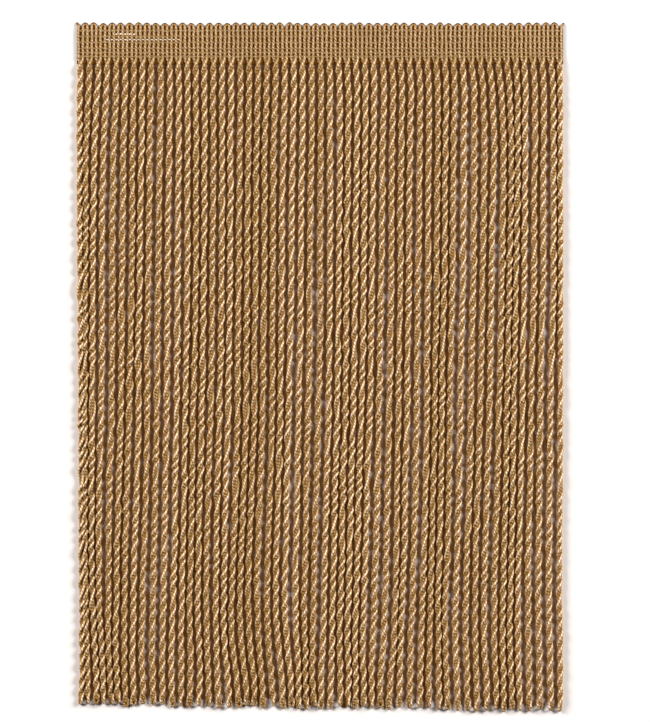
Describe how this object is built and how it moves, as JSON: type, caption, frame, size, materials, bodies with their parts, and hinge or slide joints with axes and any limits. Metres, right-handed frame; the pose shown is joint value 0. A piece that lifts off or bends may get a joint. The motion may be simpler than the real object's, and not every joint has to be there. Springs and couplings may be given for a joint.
{
  "type": "bullion fringe",
  "caption": "Flat cut length of bullion fringe: a woven heading with small looped top edge and long two-ply twisted cords that end in closed loops.",
  "frame": {"origin": "middle of the width and of the drop, on the surface that the back lies on", "axes": "+X across the fringe to the viewer's right, +Y up the drop towards the looped edge of the heading, +Z out of the face"},
  "size_m": [0.1792, 0.254, 0.0021],
  "materials": {
    "heading_yarn": "lustrous antique gold viscose yarn, woven in fine upright ribs",
    "skirt_yarn": "lustrous antique gold viscose yarn, two plies twisted into cords"
  },
  "bodies": {
    "root": {"heading": "heading_yarn", "skirt": "skirt_yarn"}
  },
  "joints": []
}
